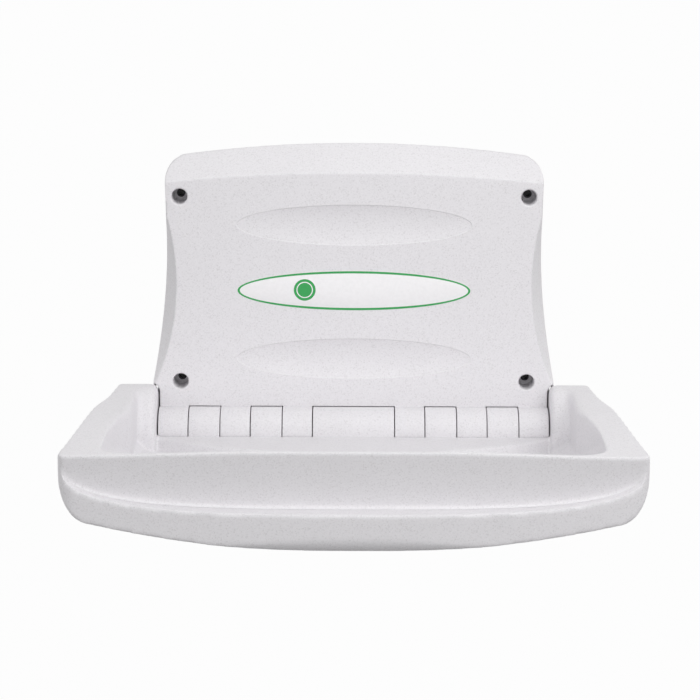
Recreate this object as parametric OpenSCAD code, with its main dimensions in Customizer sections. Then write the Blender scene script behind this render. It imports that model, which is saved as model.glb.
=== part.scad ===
// Wall-mounted fold-down changing table, standing open.
//
// Frame: +X to the right, -Y into the room, +Z up. The wall is the plane Y = 0 and the
// origin is the middle of the four wall fixings. The bed folds up about hinge_line.

/* [Wall fixings] */
// Side-to-side distance between the wall fixings
fix_pitch_x = 558; // [530:1:564]
// Up-and-down distance between the wall fixings
fix_pitch_z = 300; // [280:1:310]
// Diameter of each fixing hole
fix_hole_d = 9; // [6:0.5:11]
// Diameter of each counterbore
fix_bore_d = 25; // [20:0.5:28]
// Depth of each counterbore below the panel face
fix_bore_depth = 50; // [40:1:52]

/* [Panel] */
// Height of the crown above the fixing centre
panel_top = 230; // [224:1:232]
// Distance of the panel face from the wall
panel_depth = 66; // [62:1:68]
// Width of the panel at its waist, on the wall
panel_waist_w = 602; // [598:1:612]
// Height of that waist above the fixing centre
panel_waist_z = 110; // [95:1:120]
// Radius of the crown
crown_r = 2000; // [1700:50:2600]
// Radius of the top corners
corner_r = 34; // [20:1:40]
// Radius of the long side curves on the wall
side_r = 1500; // [1440:20:1800]
// Width of the panel face at its own waist
face_waist_w = 571; // [564:1:580]
// Radius of the side cuts at the face
face_side_r = 400; // [380:5:440]
// How much wider the side cuts leave the panel at the wall
flank_flare = 24; // [16:1:26]
// Height of the crease under the top band, below the crown
band_height = 41; // [30:1:46]
// Wall thickness of the moulded shells
wall = 4; // [3:0.25:4.5]

/* [Panel recesses and label] */
// Length of each oval recess
recess_w = 376; // [300:2:384]
// Height of each oval recess
recess_h = 65; // [50:1:68]
// Depth of each oval recess
recess_depth = 5; // [4:0.5:8]
// Height of the upper recess above the fixing centre
recess_upper_z = 105; // [98:1:108]
// Depth of the lower recess below the fixing centre
recess_lower_z = 112; // [106:1:114]
// Length of the oval label
label_w = 374; // [300:2:380]
// Height of the oval label
label_h = 64; // [50:1:66]
// Thickness of the label
label_t = 0.5; // [0.3:0.1:1]

/* [Hinge] */
// Distance of the hinge line from the wall
hinge_out = 77; // [77:0.5:79]
// Distance of the hinge line below the fixing centre
hinge_drop = 230; // [228:1:234]
// Outer radius of the hinge knuckles
knuckle_r = 40; // [38:0.5:40]
// Running gap round and beside the knuckles
knuckle_gap = 1.5; // [1:0.1:2]
// Width of the middle bed knuckle, gap centre to gap centre
mid_knuckle_w = 132; // [126:1:136]
// Width of each panel knuckle
panel_knuckle_w = 48.4; // [47:0.2:50]
// Width of each outer bed knuckle
bed_knuckle_w = 51.2; // [50:0.2:52]
// Diameter of the hinge rod
rod_d = 16; // [14:0.5:18]
// Wall of the hinge bushes
bush_wall = 3; // [2:0.5:4]
// Running clearance of the rod in its bushes, on the radius
rod_fit = 0.05; // [0.03:0.01:0.08]
// Thickness of each hinge lug
lug_t = 6; // [5:0.5:8]

/* [Bed] */
// Overall width of the bed at the front corners
bed_w = 858; // [846:2:868]
// Reach of the upper front wall from the wall
bed_reach = 560; // [556:1:566]
// Height of the rim above the hinge line
rim_height = 75; // [73:0.5:75]
// Depth of the underside below the hinge line, at the middle
belly_depth = 70.5; // [69:0.5:76]
// How far the upper front wall leans back on its way down to the ledge
front_lean = 12; // [6:1:14]
// How far the lower front bulges past the upper wall
bulge = 25; // [15:1:30]
// How far the lower front stands past the upper wall at the corners
corner_bulge = 9; // [4:0.5:12]
// Radius of the bottom curve, side to side
belly_r = 1870; // [1750:10:2400]
// Radius of the lower front edge
nose_r = 24; // [18:1:40]
// Width of the rounding of the lower corners
belly_corner_r = 50; // [45:1:60]
// Height of the rounding of the lower corners
belly_corner_h = 75; // [60:1:80]
// Radius of the front corners in plan
front_corner_r = 30; // [24:1:40]
// Width of the pair of ears at their back
ear_w = 761; // [752:1:766]
// Rounding of the inner edges of the ears
ear_round = 12; // [6:1:13]
// Step from the ears out to the flanks
shoulder = 8.3; // [6:0.1:10]
// Depth of the crescent ledge below the rim, at the middle
ledge_drop = 83; // [76:1:88]
// Roundness of the ledge curve, 2 is an ellipse
ledge_power = 3.4; // [2:0.1:4]

/* [Bed hollow] */
// Width of the hollow at the rim
hollow_w = 738; // [728:2:742]
// How much narrower each side of the hollow is at the ears
hollow_taper = 24; // [20:1:30]
// Thickness of the front rim
front_rim_t = 13; // [11:0.5:20]
// Depth of the shelf below the hinge line
shelf_drop = 0; // [0:0.5:1]
// Depth of the basin below the shelf
basin_depth = 20; // [14:1:20]
// Radius of the curved front edge of the shelf
shelf_r = 520; // [480:10:600]
// Distance of that edge from the wall, at the middle
shelf_reach = 235; // [225:1:245]

/* [Damper] */
// Radius at which the crank pin runs
crank_r = 30; // [29:0.5:31]
// Diameter of the crank pin
crank_pin_d = 8; // [7:0.5:8]
// Diameter of the damper rod
damper_rod_d = 8; // [6:0.5:9]
// Outer diameter of the damper cylinder
damper_d = 18; // [16:0.5:18]
// Distance of the damper from the middle
damper_x = 196; // [195:0.5:197]

/* [Hidden] */
$fn = 96;

// Colours
plastic = [0.89, 0.885, 0.895];
steel = [0.62, 0.63, 0.65];
zinc = [0.72, 0.72, 0.70];
black = [0.12, 0.12, 0.13];
nylon = [0.93, 0.92, 0.86];
label_green = [0.18, 0.62, 0.28];

seat = 0.3;                // gap between a piece and what it sits on
big = 1000;                // longer than any cut needs
plate_t = 3;               // steel back plate
boss_r = 6;                // screw bosses
screw_r = 2;               // screw shanks
screw_head_r = 4;
bore_depth_left = panel_depth - fix_bore_depth;   // wall to the bottom of a counterbore

hy = -hinge_out;           // hinge line
hz = -hinge_drop;
rod_r = rod_d / 2;
bush_r = rod_r + rod_fit + bush_wall;
sleeve_r = rod_r + 5;      // steel sleeves and hubs on the rod
panel_bottom = hz - knuckle_r;
bed_knuckle_r = knuckle_r;
pocket_r = knuckle_r + knuckle_gap;
ear_r = hinge_out - 1;     // the ears are round about the hinge line
ear_gap = 2;               // running gap between the ears and the panel
ear_cut_r = ear_r + ear_gap;

// Knuckle edges, from the middle outwards
edge1 = mid_knuckle_w / 2;
edge2 = edge1 + panel_knuckle_w;
edge3 = edge2 + bed_knuckle_w;
edge4 = edge3 + panel_knuckle_w;
edge5 = edge4 + bed_knuckle_w;
edge6 = edge5 + panel_knuckle_w;
half_gap = knuckle_gap / 2;
panel_spans = [[edge1, edge2], [edge3, edge4], [edge5, edge6]];
bed_spans = [[edge2, edge3], [edge4, edge5]];
ear_inner = edge6 + half_gap + 1;

rim_z = hz + rim_height;
belly_z = hz - belly_depth;
floor_z = hz - shelf_drop;
basin_z = floor_z - basin_depth;
front_y = -bed_reach;
inner_front_y = front_y + front_rim_t;
rear_y = hy - 3;           // back wall of the bed under the hinge
bed_half = bed_w / 2;
hollow_half = hollow_w / 2;
corner_d = bed_reach + corner_bulge - front_corner_r;   // centre of the front corners
bed_side_flare = (bed_half - ear_w / 2 - shoulder) / (corner_d - hinge_out);

function sq(v) = v * v;
function clamp(v) = min(1, max(0, v));
function smooth(t) = clamp(t) * clamp(t) * (3 - 2 * clamp(t));
function arc(c, r, a0, a1, n) =
    [for (i = [0:n]) c + r * [cos(a0 + (a1 - a0) * i / n), sin(a0 + (a1 - a0) * i / n)]];
function mirrored(pts) = concat(pts, [for (i = [len(pts) - 1:-1:0]) [-pts[i].x, pts[i].y]]);

// Draws a (Y, Z) profile from x0 to x1
module along_x(x0, x1) {
    translate([x0, 0, 0]) rotate([90, 0, 90]) linear_extrude(x1 - x0) children();
}
// Draws an (X, Z) profile from the wall side y1 towards the room side y0
module along_y(y0, y1) {
    translate([0, y1, 0]) rotate([90, 0, 0]) linear_extrude(y1 - y0) children();
}
// Round bar on the hinge line
module hinge_bar(r, x0, x1) {
    translate([x0, hy, hz]) rotate([0, 90, 0]) cylinder(r = r, h = x1 - x0);
}
// Round bar along Y, from the wall side y1 to the room side y0
module y_bar(r, x, z, y0, y1) {
    translate([x, y1, z]) rotate([90, 0, 0]) cylinder(r = r, h = y1 - y0);
}
module block(x0, x1, y0, y1, z0, z1) {
    translate([x0, y0, z0]) cube([x1 - x0, y1 - y0, z1 - z0]);
}
module both_sides() {
    children();
    mirror([1, 0, 0]) children();
}

// ---- wall unit ------------------------------------------------------------------

function crown_z(x, g) = panel_top + g - sq(x) / (2 * crown_r);
function side_x(z, g) = panel_waist_w / 2 + g + sq(z - panel_waist_z) / (2 * side_r);

// Outline of the wall unit on the wall, g wider all round
module panel_outline(g = 0) {
    r = corner_r + g;
    cz = crown_z(panel_waist_w / 2 - corner_r, g) - r - 2;
    cx = side_x(cz, g) - r;
    z0 = panel_bottom - g;
    top = [for (i = [0:10]) [cx * i / 10 + i, crown_z(cx * i / 10 + i, g)]];
    corner = arc([cx, cz], r, 68, 4, 6);
    side = [for (i = [1:12]) let (z = cz + (z0 - cz) * i / 12) [side_x(z, g), z]];
    polygon(mirrored(concat(top, corner, side)));
}

// Cuts that narrow the panel towards its face, leaving g more of it
module flank_cuts(g = 0) {
    cone_x = face_waist_w / 2 + face_side_r;
    both_sides() translate([cone_x + g, 0.01, 10]) rotate([90, 0, 0])
        cylinder(r1 = face_side_r - flank_flare, r2 = face_side_r + flank_flare * 0.02,
            h = panel_depth + 1);
}

// The sloping top band: everything under a shallow curve that leans back to the wall
module under_band(g = 0) {
    lean = atan2(band_height, panel_depth - 6);
    r = crown_r * 1.8;
    translate([0, -panel_depth, panel_top - band_height + g]) rotate([lean, 0, 0])
        translate([0, big, -r]) rotate([90, 0, 0]) cylinder(r = r, h = 2 * big, $fn = 720);
}

// Rounded inner edge of the ears, as (radius about the hinge line, x), g larger
function ear_edge(g) = [for (a = [0:15:75]) [ear_r - ear_round + (ear_round + g) * sin(a),
    ear_inner + ear_round - (ear_round + g) * cos(a)]];
module hinge_lathe(points) {
    translate([0, hy, hz]) rotate([0, 90, 0]) rotate_extrude() polygon(points);
}

// Space that the ears and the bed's posts sweep beside the lowest part of the panel
module ear_sweep(g = 0) {
    c = ear_gap + g;
    out = ear_inner + ear_round;
    both_sides() {
        hinge_lathe(concat([[0, ear_inner - c]], ear_edge(c),
            [[ear_r + c, out + 1], [ear_r + c, big / 2], [0, big / 2]]));
        block(edge6 - g, big / 2, -big, 10, -big, hz);
        block(out - g, big / 2, -big, 10, -big, hz + ear_cut_r + g + 0.2);
    }
}

module panel_slab(g = 0) {
    difference() {
        intersection() {
            along_y(-panel_depth - g, 0) panel_outline(g);
            under_band(g);
        }
        flank_cuts(g);
        ear_sweep(-g);
    }
}

// One oval scoop, as the side of a long spindle
module scoop(z, g = 0) {
    r = (sq(recess_h / 2) + sq(recess_depth)) / (2 * recess_depth);
    rise = (sq(recess_w / 2) + sq(recess_depth)) / (2 * recess_depth);
    half = sqrt(2 * rise * (recess_depth + 12));
    translate([0, -panel_depth - r + recess_depth, z]) rotate([0, 90, 0])
        rotate_extrude() intersection() {
            translate([r - rise, 0]) circle(r = rise + g, $fn = 1440);
            translate([0, -half]) square([2 * r, 2 * half]);
        }
}

module bed_knuckle_pocket(x0, x1, g = 0) {
    hinge_bar(pocket_r + g, x0 - half_gap - g, x1 + half_gap + g);
    block(x0 - half_gap - g, x1 + half_gap + g, -big, hy + pocket_r + g, -big, hz);
}
module bed_knuckle_pockets(g = 0) {
    bed_knuckle_pocket(-edge1, edge1, g);
    both_sides() for (s = bed_spans) bed_knuckle_pocket(s[0], s[1], g);
}
module panel_knuckles(g = 0) {
    both_sides() for (s = panel_spans) {
        hinge_bar(knuckle_r - g, s[0] + half_gap + g, s[1] - half_gap - g);
        block(s[0] + half_gap + g, s[1] - half_gap - g, hy, g / 4,
            panel_bottom + g, hz);
    }
}

fixings = [for (sx = [-1, 1], sz = [-1, 1]) [sx * fix_pitch_x / 2, sz * fix_pitch_z / 2]];
panel_screw_spots = [for (sx = [-1, 1]) each
    [[sx * 120, 190 - band_height], [sx * 235, 40], [sx * 235, -60], [sx * 100, -60]]];

module panel_shell() color(plastic) difference() {
    union() {
        difference() {
            union() {
                panel_slab();
                panel_knuckles();
            }
            bed_knuckle_pockets();
            difference() {
                union() {
                    translate([0, 0.01, 0]) panel_slab(-wall);
                    block(-edge6 + wall, edge6 - wall, -panel_depth + wall, 1,
                        panel_bottom + wall, hz + knuckle_r);
                    panel_knuckles(wall);
                }
                bed_knuckle_pockets(wall);
                for (z = [recess_upper_z, -recess_lower_z]) scoop(z, wall);
            }
        }
        for (p = fixings) y_bar(fix_bore_d / 2 + wall, p.x, p.y, -panel_depth + 1, -plate_t);
        for (p = panel_screw_spots) y_bar(boss_r, p.x, p.y, -panel_depth + 1, -plate_t);
    }
    for (z = [recess_upper_z, -recess_lower_z]) scoop(z);
    for (p = fixings) {
        y_bar(fix_bore_d / 2, p.x, p.y, -panel_depth - 10, -bore_depth_left);
        y_bar(fix_hole_d / 2 + 2.5, p.x, p.y, -panel_depth, 1);
    }
    for (p = panel_screw_spots) y_bar(screw_r + 0.1, p.x, p.y, -20, 1);
    hinge_bar(rod_r + 1, -edge6 + wall, edge6 - wall);
}

module back_plate() color(steel) difference() {
    along_y(-plate_t, 0) difference() {
        panel_outline(-wall - seat);
        both_sides() {
            translate([face_waist_w / 2 + face_side_r - wall, 10])
                circle(r = face_side_r - flank_flare + 2);
            translate([edge6 - wall - seat, -big]) square([big, big + hz + ear_cut_r + wall + 1]);
        }
    }
    for (p = fixings) y_bar(fix_hole_d / 2, p.x, p.y, -10, 10);
    for (p = panel_screw_spots) {
        y_bar(screw_r + 0.1, p.x, p.y, -10, 10);
        translate([p.x, 0.001, p.y]) rotate([90, 0, 0])
            cylinder(r1 = screw_head_r + 0.1, r2 = screw_r + 0.1, h = 2);
    }
}

// Steel compression spacers between the counterbores and the back plate
module fixing_spacers() color(zinc) for (p = fixings) difference() {
    y_bar(fix_hole_d / 2 + 2.3, p.x, p.y, -bore_depth_left, -plate_t);
    y_bar(fix_hole_d / 2, p.x, p.y, -big, 10);
}

lug_x = [for (s = panel_spans) s[0] + half_gap + wall + 2];
module hinge_lug(x) difference() {
    union() {
        hinge_bar(bush_r + 7, x, x + lug_t);
        block(x, x + lug_t, hy, -plate_t, hz - bush_r - 7, hz + bush_r + 7);
        block(x, x + lug_t, hy + 45, -plate_t, hz, hz + knuckle_r);
    }
    hinge_bar(bush_r, x - 1, x + lug_t + 1);
}
module hinge_lugs() color(steel) both_sides() for (x = lug_x) hinge_lug(x);

module hinge_bushes() color(nylon) both_sides() for (x = lug_x) difference() {
    union() {
        hinge_bar(bush_r, x, x + lug_t);
        hinge_bar(bush_r + 3, x - 1.5, x);
    }
    hinge_bar(rod_r + rod_fit, x - 5, x + lug_t + 5);
}

module panel_screws() color(zinc) for (p = panel_screw_spots) {
    y_bar(screw_r, p.x, p.y, -18, -1);
    translate([p.x, 0, p.y]) rotate([90, 0, 0])
        cylinder(r1 = screw_head_r, r2 = screw_r, h = 2);
}

module label_plate() color("white")
    translate([0, -panel_depth, -1]) rotate([90, 0, 0])
        scale([label_w / label_h, 1, 1]) cylinder(d = label_h, h = label_t);

// Rubber pads behind the heels of four bed knuckles, which stop the open bed
pad_t = 5;
heel_y = hy + pocket_r - pad_t - seat;
module stop_pads() color(black) both_sides() for (s = bed_spans)
    block(s[0] + 12, s[1] - 12, hy + pocket_r - pad_t, hy + pocket_r,
        panel_bottom + 3, hz - 19);

// ---- damper: a cylinder on the back plate, a rod that slides in it, and a crank on the
// hinge rod whose pin runs in the level slot of the rod's yoke ---------------------

crank_at_rest = 45;                        // crank angle above the level, bed open
damper_stroke = crank_r * sqrt(2);
damper_y = hy + crank_r * (1 + cos(45)) / 2;
pin_y = hy + crank_r * cos(crank_at_rest);
pin_z = hz + crank_r * sin(crank_at_rest);
slot_clear = 0.9;                          // above and below the pin, for the yoke's path
cheek_t = 4;
yoke_t = 10;
yoke_edge = 4;
cheek_in = yoke_t / 2 + 0.6;
cylinder_z = pin_z + 24;
cylinder_len = damper_stroke + 62;
eye_z = cylinder_z + cylinder_len + 11;

module damper_tube(r, z0, z1) {
    translate([damper_x, damper_y, z0]) cylinder(r = r, h = z1 - z0);
}
module damper_cylinder() color(black) difference() {
    union() {
        damper_tube(damper_d / 2, cylinder_z, cylinder_z + cylinder_len);
        block(damper_x - 4, damper_x + 4, damper_y - 7, damper_y + 7,
            cylinder_z + cylinder_len - 1, eye_z);
        translate([damper_x - 4, damper_y, eye_z]) rotate([0, 90, 0]) cylinder(r = 7, h = 8);
    }
    damper_tube(damper_d / 2 - 2, cylinder_z + 8, cylinder_z + cylinder_len - 4);
    damper_tube(damper_rod_d / 2 + rod_fit, cylinder_z - 1, cylinder_z + 20);
    translate([damper_x - 6, damper_y, eye_z]) rotate([0, 90, 0]) cylinder(r = 4, h = 12);
}
module damper_bracket() color(steel) difference() {
    union() {
        block(damper_x - 16, damper_x + 16, -plate_t - 3, -plate_t, eye_z - 20, eye_z + 20);
        for (s = [-1, 1]) {
            x = damper_x + s * 6.5;
            block(x - 1.5, x + 1.5, damper_y, -plate_t - 2, eye_z - 9, eye_z + 9);
            translate([x - 1.5, damper_y, eye_z]) rotate([0, 90, 0]) cylinder(r = 9, h = 3);
        }
    }
    translate([damper_x - 12, damper_y, eye_z]) rotate([0, 90, 0]) cylinder(r = 4, h = 24);
}
module damper_pivot_pin() color(zinc) {
    translate([damper_x - 9, damper_y, eye_z]) rotate([0, 90, 0]) cylinder(r = 3.9, h = 18);
    translate([damper_x - 11, damper_y, eye_z]) rotate([0, 90, 0]) cylinder(r = 6, h = 2.5);
}
module damper_rod() color(zinc) {
    damper_tube(damper_rod_d / 2, pin_z + 9, cylinder_z + damper_stroke + 20);
    damper_tube(damper_d / 2 - 2 - rod_fit, cylinder_z + damper_stroke + 12,
        cylinder_z + damper_stroke + 22);
}
module damper_yoke() color(steel) difference() {
    slot_r = crank_pin_d / 2 + slot_clear;
    y0 = pin_y - slot_r + slot_clear / 2;
    y1 = hy + crank_r + slot_r - slot_clear / 2;
    x0 = damper_x - yoke_t / 2;
    union() {
        block(x0, x0 + yoke_t, y0 - 3, y1 + 3, pin_z - slot_r - yoke_edge,
            pin_z + slot_r + yoke_edge);
        damper_tube(yoke_t / 2 + 0.4, pin_z + slot_r + 1, pin_z + 16);
    }
    block(x0 - 1, x0 + yoke_t + 1, y0, y1, pin_z - slot_r, pin_z + slot_r);
    damper_tube(damper_rod_d / 2, pin_z + 9, pin_z + 40);
}
module crank_cheek(x) {
    along_x(x, x + cheek_t) {
        translate([hy, hz]) circle(r = sleeve_r);
        translate([pin_y, pin_z]) circle(r = 7.5);
        translate([hy, hz]) rotate(crank_at_rest) translate([0, -6.5]) square([crank_r, 13]);
    }
}
module damper_crank() color(steel) difference() {
    union() {
        crank_cheek(damper_x + cheek_in);
        crank_cheek(damper_x - cheek_in - cheek_t);
        hinge_bar(rod_r + 2.6, damper_x - cheek_in - 1.5, damper_x + cheek_in + 1.5);
    }
    hinge_bar(rod_r, damper_x - 30, damper_x + 30);
    translate([damper_x - 30, pin_y, pin_z]) rotate([0, 90, 0])
        cylinder(d = crank_pin_d, h = 60);
}
module crank_pin() color(zinc)
    translate([damper_x - cheek_in - cheek_t - 1, pin_y, pin_z]) rotate([0, 90, 0])
        cylinder(d = crank_pin_d, h = 2 * (cheek_in + cheek_t + 1));

// ---- bed ------------------------------------------------------------------------

// Half width of the bed at a distance from the wall: ears, shoulders, then flanks
function bed_half_at(d) = ear_w / 2 + bed_side_flare * (d - hinge_out)
    + shoulder * smooth((d - 150) / 105);
// Half width of the hollow: past the ear posts, then out to a long curve
function hollow_half_at(d) = hollow_half - hollow_taper * sq(clamp((450 - d) / 200));

module bed_plan(g = 0) {
    r = front_corner_r + g;
    d0 = corner_d;
    flank = [for (i = [0:16]) let (d = 1 + (d0 - 1) * i / 16) [bed_half_at(d) + g, -d]];
    corner = arc([bed_half_at(d0) - front_corner_r, -d0], r, 0, -80, 5);
    last = corner[5];
    swell = -bed_reach - bulge - g;
    front = [for (i = [1:12]) let (x = last.x * (1 - i / 12))
        [x, swell + (last.y - swell) * sq(x / last.x)]];
    polygon(mirrored(concat(flank, corner, front)));
}

module bed_front_profile(g = 0) {
    r = belly_corner_r + g;
    h = belly_corner_h + g;
    half = bed_half + g;
    base = belly_z - g;
    cx = half - r;
    cz = base + sq(cx) / (2 * belly_r) + h;
    bottom = [for (i = [0:12]) let (x = (cx + 8) * i / 12) [x, base + sq(x) / (2 * belly_r)]];
    corner = [for (t = [-74:8.2:0]) [cx + r * cos(t), cz + h * sin(t)]];
    polygon(mirrored(concat(bottom, corner, [[half, rim_z + g]])));
}

module bed_side_profile(g = 0) {
    r = nose_r;
    low = belly_z - 20 - g;
    intersection() {
        union() {
            translate([hy, hz]) circle(r = ear_r + g);
            translate([-bed_reach - bulge - g, low]) square([bed_reach + bulge + g + hy, rim_z + g - low]);
        }
        translate([-bed_reach - bulge - g, low])
            square([bed_reach + bulge + g + 100, rim_z + g - low]);
        union() {
            translate([-bed_reach - bulge + r, low])
                square([bed_reach + bulge + 100, big]);
            translate([-bed_reach - bulge - g, belly_z + r]) square([big, big]);
            translate([-bed_reach - bulge + r, belly_z + r]) circle(r = r + g);
        }
    }
}

// Height of the ledge curve at x
function ledge_z(x) = rim_z - 3 - (ledge_drop)
    * pow(1 - pow(clamp(abs(x) / (bed_half - 5)), ledge_power), 1 / ledge_power);

// The upper front wall leans back from its rim, as it leaves the mould
function lean_y(z) = front_y + front_lean * (rim_z - z) / ledge_drop;

module above_ledge(g = 0) {
    n = 28;
    curve = [for (i = [-n:n]) let (t = sin(90 * i / n)) [bed_half * t, ledge_z(bed_half * t) - g]];
    polygon(concat([[-big, rim_z - 3 - g]], curve, [[big, rim_z - 3 - g], [big, big], [-big, big]]));
}

// Outside of the closed bed, g outside the real skin
module bed_outside(g = 0) let (top = rim_z + 50, low = rim_z - ledge_drop - 20) difference() {
    intersection() {
        translate([0, 0, -big / 2]) linear_extrude(big) bed_plan(g);
        along_y(-big, 0) bed_front_profile(g);
        along_x(-big / 2, big / 2) bed_side_profile(g);
    }
    intersection() {
        along_y(-big, 0) above_ledge(-g);
        along_x(-big, big) polygon([[-big, top], [lean_y(top) - g, top],
            [lean_y(low) - g, low], [-big, low]]);
    }
}

// The hollow that the child lies in, g larger
module bed_hollow(g = 0) {
    depth = rim_z - basin_z;
    side = 62;
    front = 45;
    top = rim_z + 30;
    difference() {
        intersection() {
            translate([0, 0, basin_z - g]) linear_extrude(depth + 60)
                hollow_plan(g);
            along_y(-big, 0) polygon(mirrored(concat(
                [[0, basin_z - g]],
                [for (i = [0:8]) [hollow_half - side + (side + g) * sin(90 * i / 8),
                    rim_z - (depth + g) * cos(90 * i / 8)]],
                [[hollow_half + g, top]])));
            along_x(-big / 2, big / 2) polygon(concat(
                [[10, top], [10, basin_z - g]],
                [for (i = [0:8]) [inner_front_y + front - (front + g) * sin(90 * i / 8),
                    rim_z - (depth + g) * cos(90 * i / 8)]],
                [[inner_front_y - g, top]]));
        }
        translate([0, shelf_r - shelf_reach, basin_z - 10])
            cylinder(r1 = shelf_r + 12 - g, r2 = shelf_r - g, h = basin_depth + 10 - g, $fn = 360);
        both_sides() hinge_bar(ear_r - 0.5 - g, ear_inner + g, big);
    }
}

module hollow_plan(g = 0) {
    r = 50;
    d1 = bed_reach - front_rim_t - r;
    d0 = hinge_out + 3;
    side = [for (i = [0:14]) let (d = d0 + (d1 - d0) * i / 14) [hollow_half_at(d) + g, -d]];
    corner = arc([hollow_half_at(d1) - r, -d1], r + g, 0, -90, 6);
    polygon(mirrored(concat([[ear_inner + g, 10], [ear_inner + g, -d0]], side, corner)));
}

// Room for the panel knuckles and the panel behind the bed
module hinge_room(g = 0) {
    x = ear_inner + g;
    hinge_bar(pocket_r + g, -x, x);
    block(-x, x, rear_y - g, 10, -big, rim_z + 50);
}

// Relief beside the ears that clears the panel's lower corners, g larger
module ear_relief(g = 0) {
    out = ear_inner + ear_round + 1.2 + g;
    both_sides() intersection() {
        hinge_lathe(concat([[ear_r - ear_round, ear_inner - 6 - g]], ear_edge(-g),
            [[ear_r + 0.5 - g, out], [ear_r + 36 + g, out],
            [ear_r + 36 + g, ear_inner - 6 - g]]));
        block(0, big, -big, big, hz - 1 - g, big);
    }
}

// Knuckle of the bed with its heel, which meets a stop pad
module bed_knuckle(x0, x1) {
    a = x0 + half_gap;
    b = x1 - half_gap;
    hinge_bar(knuckle_r, a, b);
    intersection() {
        hinge_bar(pocket_r + wall, a, b);
        block(a, b, -big, hy, -big, hz);
    }
    block(a, b, hy - 5, heel_y, hz - knuckle_r - 2, hz - 10);
}

screw_in = 60;             // bed screws from the middle
screw_out = 250;
screw_row1 = 260;          // bed screws behind the front wall
screw_row2 = 90;
bed_screw_spots = [for (sx = [-1, 1]) each [for (x = [screw_in, screw_out],
    d = [screw_row1, screw_row2]) [sx * x, bed_reach - d]]];
frame_w = 36;
frame_h = 28;
frame_start = 40;          // frame tubes behind the front wall
bar_row1 = 300;            // cross bars behind the front wall
bar_row2 = 60;
bar_w = 30;
bar_t = 4;
frame_x = (edge2 + edge3) / 2;
frame_top = basin_z - wall - seat;
arm_t = 8;

module bed_tray() color(plastic) difference() {
    union() {
        difference() {
            union() {
                intersection() {
                    difference() {
                        bed_outside();
                        bed_outside(-wall);
                    }
                    along_y(-big, 0) above_ledge(-seat / 2);
                }
                intersection() {
                    bed_outside(-wall / 2);
                    union() {
                        bed_hollow(wall);
                        hinge_room(wall);
                        ear_relief(wall);
                    }
                }
            }
            bed_hollow();
            hinge_room();
            ear_relief();
        }
        bed_knuckle(-edge1, edge1);
        both_sides() for (s = bed_spans) bed_knuckle(s[0], s[1]);
        for (p = bed_screw_spots)
            translate([p.x, -p.y, belly_z + wall + sq(p.x) / (2 * belly_r) + 2])
                cylinder(r = boss_r, h = basin_z - belly_z - wall - sq(p.x) / (2 * belly_r) - 3);
    }
    hinge_bar(rod_r + 0.5, -big, big);
    both_sides() {
        hinge_bar(sleeve_r + seat, frame_x - 12 - seat, frame_x + 12 + seat);
        along_x(frame_x - arm_t / 2 - seat, frame_x + arm_t / 2 + seat) arm_outline(seat);
    }
    for (p = bed_screw_spots)
        translate([p.x, -p.y, -big]) cylinder(r = screw_r + 0.1, h = big + basin_z - wall - 1);
}

module bed_underside() color(plastic) difference() {
    bed_outside();
    bed_outside(-wall);
    along_y(-big, 0) above_ledge(seat / 2);
    bed_hollow(wall + seat);
    hinge_room(wall + seat);
    ear_relief(wall + seat);
    for (p = bed_screw_spots) {
        translate([p.x, -p.y, -big]) cylinder(r = screw_r + 0.3, h = big + hz);
        translate([p.x, -p.y, -big])
            cylinder(r = screw_head_r + 1, h = big + belly_z + sq(p.x) / (2 * belly_r) + 2);
    }
}

// Side view of the steel arm that joins a frame tube to the hinge rod
module arm_outline(g = 0) {
    y0 = hy - 60;
    polygon([
        [hy + 9 + g, hz], [hy + 9 + g, hz - 22], [rear_y - wall - 1 + g, hz - knuckle_r],
        [rear_y - wall - 1 + g, frame_top - frame_h - g], [y0 - g, frame_top - frame_h - g],
        [y0 - g, frame_top + g], [hy - 30 - g, hz - 8 + g], [hy - 9 - g, hz]]);
}

module bed_frame(x) difference() {
    union() {
        difference() {
            block(x - frame_w / 2, x + frame_w / 2, front_y + frame_start, hy - 55,
                frame_top - frame_h, frame_top);
            block(x - frame_w / 2 + 2, x + frame_w / 2 - 2, front_y + frame_start - 1, hy - 54,
                frame_top - frame_h + 2, frame_top - 2);
        }
        along_x(x - arm_t / 2, x + arm_t / 2) arm_outline();
        hinge_bar(sleeve_r, x - 12, x + 12);
    }
    hinge_bar(rod_r, x - 20, x + 20);
    lock_pin_shape(x + 8);
}
module bed_frame_left() color(steel) bed_frame(-frame_x);
module bed_frame_right() color(steel) mirror([1, 0, 0]) bed_frame(-frame_x);

module frame_cross_bars() color(steel) for (row = [bar_row1, bar_row2])
    block(-frame_x + frame_w / 2, frame_x - frame_w / 2,
        front_y + row - bar_w / 2, front_y + row + bar_w / 2,
        frame_top - frame_h, frame_top - frame_h + bar_t);

module lock_pin_shape(x) {
    translate([x, hy, hz - sleeve_r]) cylinder(r = 2.5, h = 2 * sleeve_r);
}
module rod_lock_pins() color(zinc) {
    lock_pin_shape(frame_x - 8);
    lock_pin_shape(-frame_x + 8);
}

clip_x = lug_x[2] + lug_t + 2;
module hinge_rod() color(steel) difference() {
    hinge_bar(rod_r, -clip_x - 5, clip_x + 5);
    lock_pin_shape(frame_x - 8);
    lock_pin_shape(-frame_x + 8);
    both_sides() difference() {
        hinge_bar(rod_r + 1, clip_x, clip_x + 1.5);
        hinge_bar(rod_r - 1.2, clip_x - 1, clip_x + 3);
    }
}
module rod_clips() color(black) both_sides() difference() {
    hinge_bar(rod_r + 4, clip_x, clip_x + 1.5);
    hinge_bar(rod_r - 1.2, clip_x - 1, clip_x + 3);
}

module bed_screws() color(zinc) for (p = bed_screw_spots) {
    z = belly_z + sq(p.x) / (2 * belly_r) + 2;
    translate([p.x, -p.y, z - 1]) cylinder(r = screw_r, h = 21);
    translate([p.x, -p.y, z - 2.5]) cylinder(r = screw_head_r, h = 2.4);
}

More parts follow.
